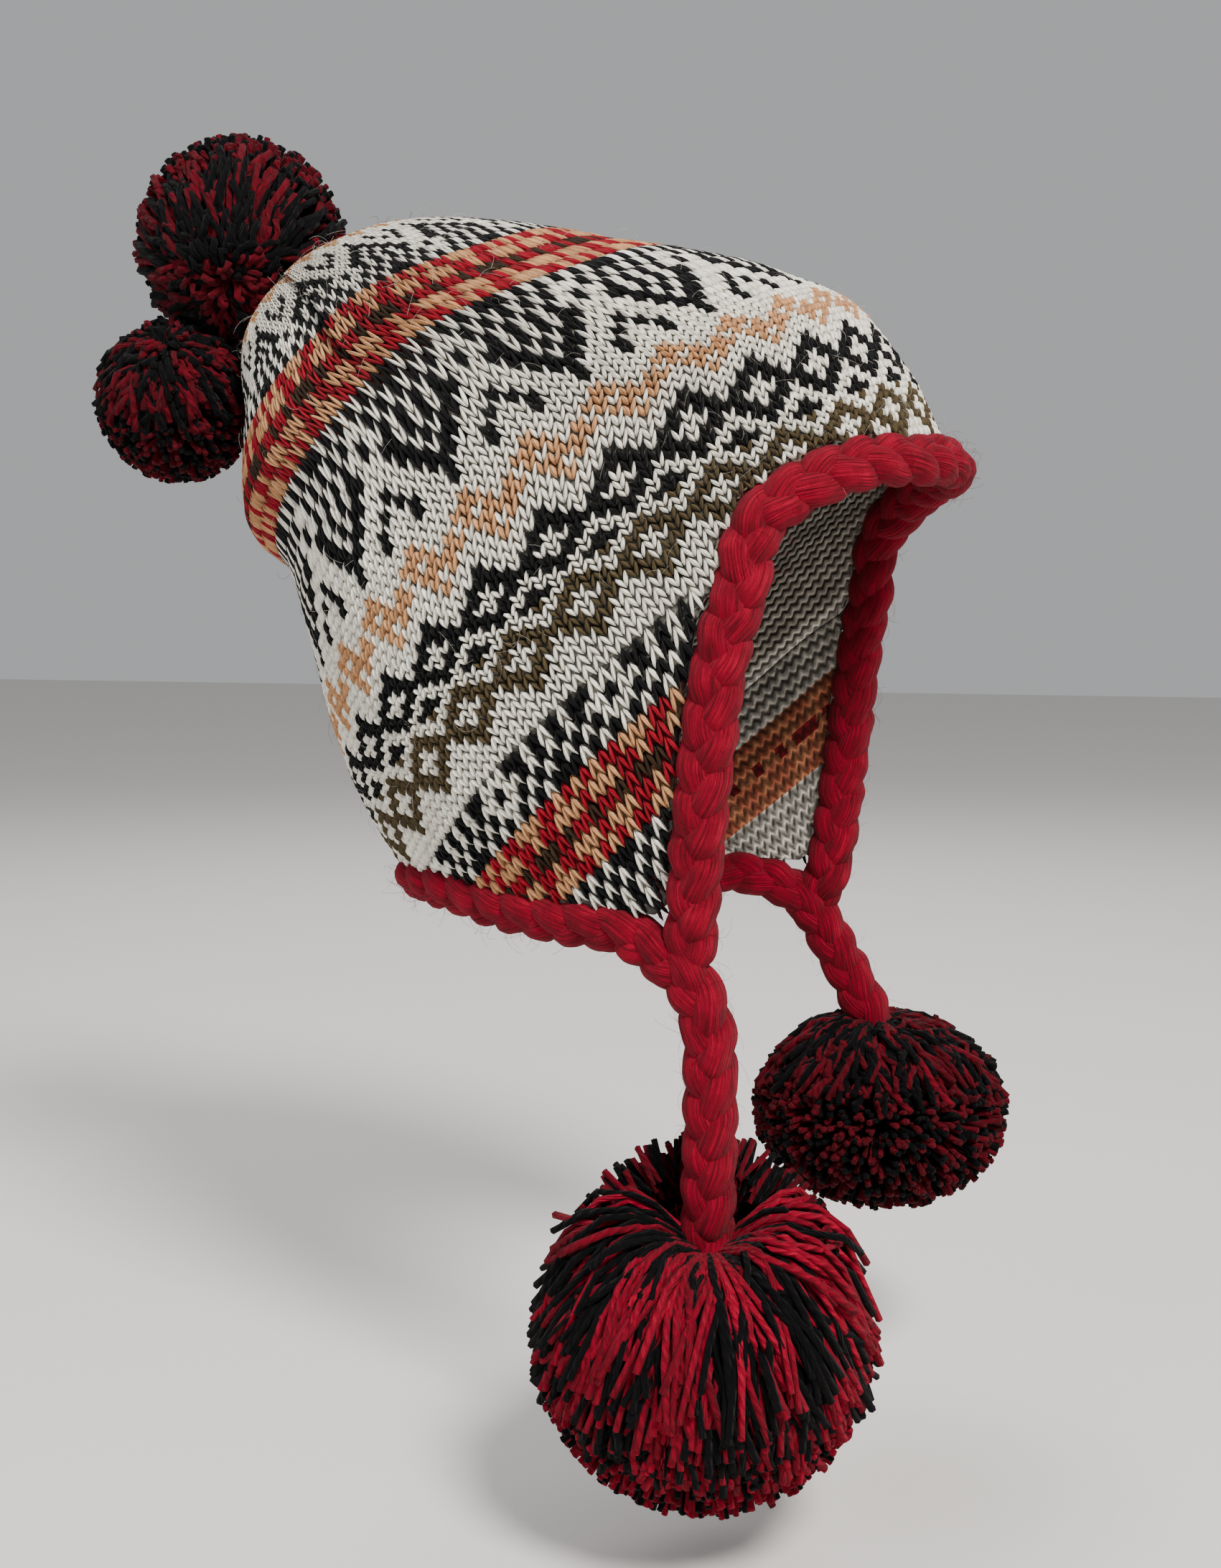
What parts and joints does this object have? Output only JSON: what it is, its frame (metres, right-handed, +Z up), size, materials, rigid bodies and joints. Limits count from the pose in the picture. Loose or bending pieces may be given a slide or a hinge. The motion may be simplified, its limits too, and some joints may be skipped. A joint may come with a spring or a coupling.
{
  "type": "chullo hat",
  "caption": "Knitted hat with ear flaps and patterned bands; its plaited edging runs on into hanging plaited ties with large pompoms, and smaller pompoms sit at its peak.",
  "frame": {"origin": "the head seat: the place on the inside of the crown, in the middle plane, that rests on the top of the head", "axes": "+Z up as the hat is worn, -Y towards the forehead, -X towards the wearer's right ear"},
  "size_m": [0.247, 0.3196, 0.448],
  "materials": {
    "cream_knit": "matte wool knit, cream with bands in black, red, tan, olive and brown",
    "red_plait": "matte plaited wool, red",
    "pompom_yarn": "matte cut wool yarn, red and black mixed"
  },
  "bodies": {
    "root": {"crown": "cream_knit", "right_flap": "cream_knit", "left_flap": "cream_knit", "front_plait": "red_plait", "back_plait": "red_plait", "right_tie": "red_plait", "left_tie": "red_plait", "right_pompom": "pompom_yarn", "left_pompom": "pompom_yarn", "upper_pompom": "pompom_yarn", "lower_pompom": "pompom_yarn"}
  },
  "joints": []
}
